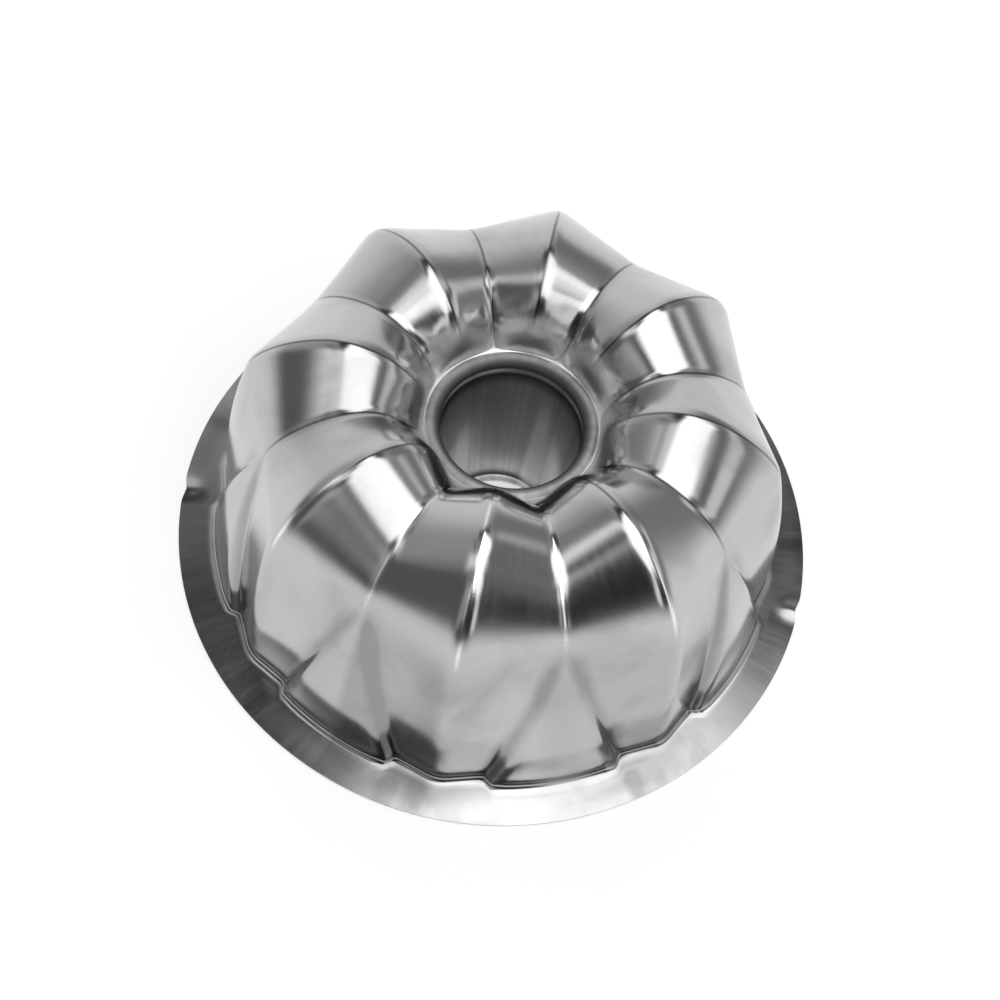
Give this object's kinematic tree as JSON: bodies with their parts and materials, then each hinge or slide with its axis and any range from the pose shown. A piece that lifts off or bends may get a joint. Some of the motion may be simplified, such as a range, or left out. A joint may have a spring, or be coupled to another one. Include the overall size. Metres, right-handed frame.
{
  "type": "fluted ring cake pan",
  "caption": "Pressed aluminium ring cake pan with a fluted domed crown, gusseted tapering wall, flat flange and tapered open centre tube; holds batter while it bakes.",
  "frame": {"origin": "centre of the flange's underside, on the surface the pan stands on when turned over", "axes": "+Z along the pan's axis, out of the crown; +X through one of the ridges"},
  "size_m": [0.224, 0.224, 0.0914],
  "materials": {
    "shell_aluminium": "bright rolled aluminium sheet, lightly scuffed by pressing and baking",
    "tube_aluminium": "duller drawn aluminium, with fine streaks along the tube"
  },
  "bodies": {
    "root": {"fluted_shell": "shell_aluminium", "centre_tube": "tube_aluminium"}
  },
  "joints": []
}
